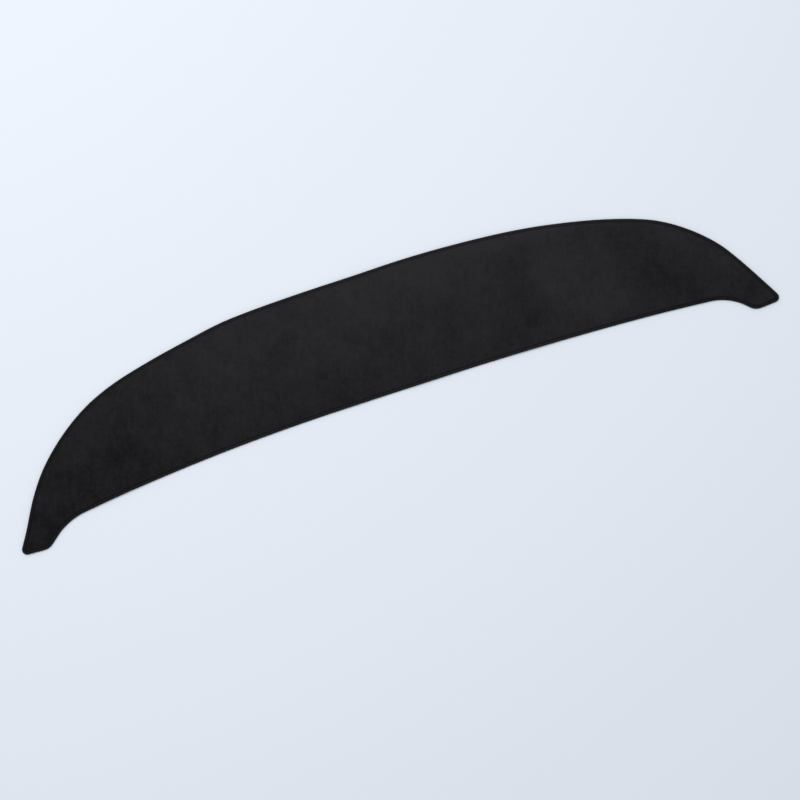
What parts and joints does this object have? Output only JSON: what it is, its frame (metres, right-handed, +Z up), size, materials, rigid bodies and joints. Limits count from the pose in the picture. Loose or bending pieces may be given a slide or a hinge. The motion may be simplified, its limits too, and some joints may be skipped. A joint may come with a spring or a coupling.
{
  "type": "dashboard cover mat",
  "caption": "Flat black cloth mat cut to the top of a dashboard, long and shallow with an ear at each end, its edge bound in a folded and sewn tape.",
  "frame": {"origin": "under the middle of the mat's outer box, on the surface that the mat lies on", "axes": "+X along the mat's length to the right as its user sees it, +Y towards the windscreen, +Z up out of the cloth"},
  "size_m": [1.4216, 0.2886, 0.004],
  "materials": {
    "napped_cloth": "black brushed flannelette with a short nap",
    "binding_tape": "black woven binding tape, matt"
  },
  "bodies": {
    "root": {"mat_panel": "napped_cloth", "edge_binding": "binding_tape"}
  },
  "joints": []
}
